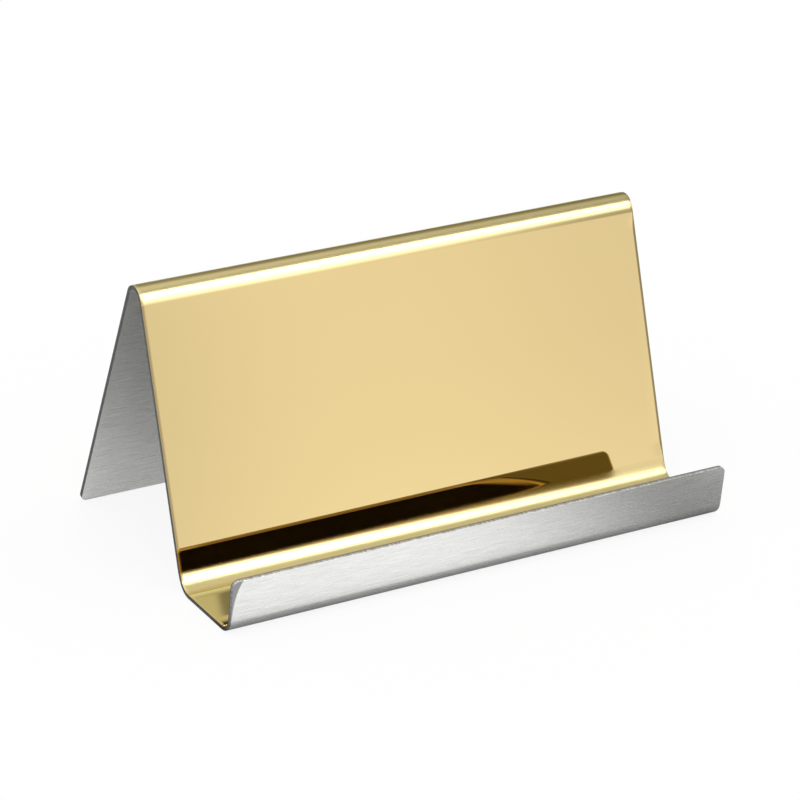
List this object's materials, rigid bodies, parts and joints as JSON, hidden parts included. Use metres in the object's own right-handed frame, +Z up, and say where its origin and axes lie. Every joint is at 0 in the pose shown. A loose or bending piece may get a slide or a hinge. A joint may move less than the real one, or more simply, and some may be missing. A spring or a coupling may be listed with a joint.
{
  "type": "business card holder stand",
  "caption": "Folded sheet-metal desk stand that leans business cards on a sloped gold mirror panel, above a flat shelf with a raised front lip.",
  "frame": {"origin": "on the table, under the middle of the stand's box", "axes": "+X along the bends, to the right as seen from the front; +Y from the front lip to the rear leg; +Z up"},
  "size_m": [0.1, 0.0566, 0.0493],
  "materials": {
    "brushed_steel": "satin",
    "gold_mirror": "polished"
  },
  "bodies": {
    "root": {"rear_leg": "brushed_steel", "ridge_bend": "brushed_steel", "card_panel": "brushed_steel", "heel_bend": "brushed_steel", "card_shelf": "brushed_steel", "toe_bend": "brushed_steel", "front_lip": "brushed_steel", "gold_face": "gold_mirror"}
  },
  "joints": []
}
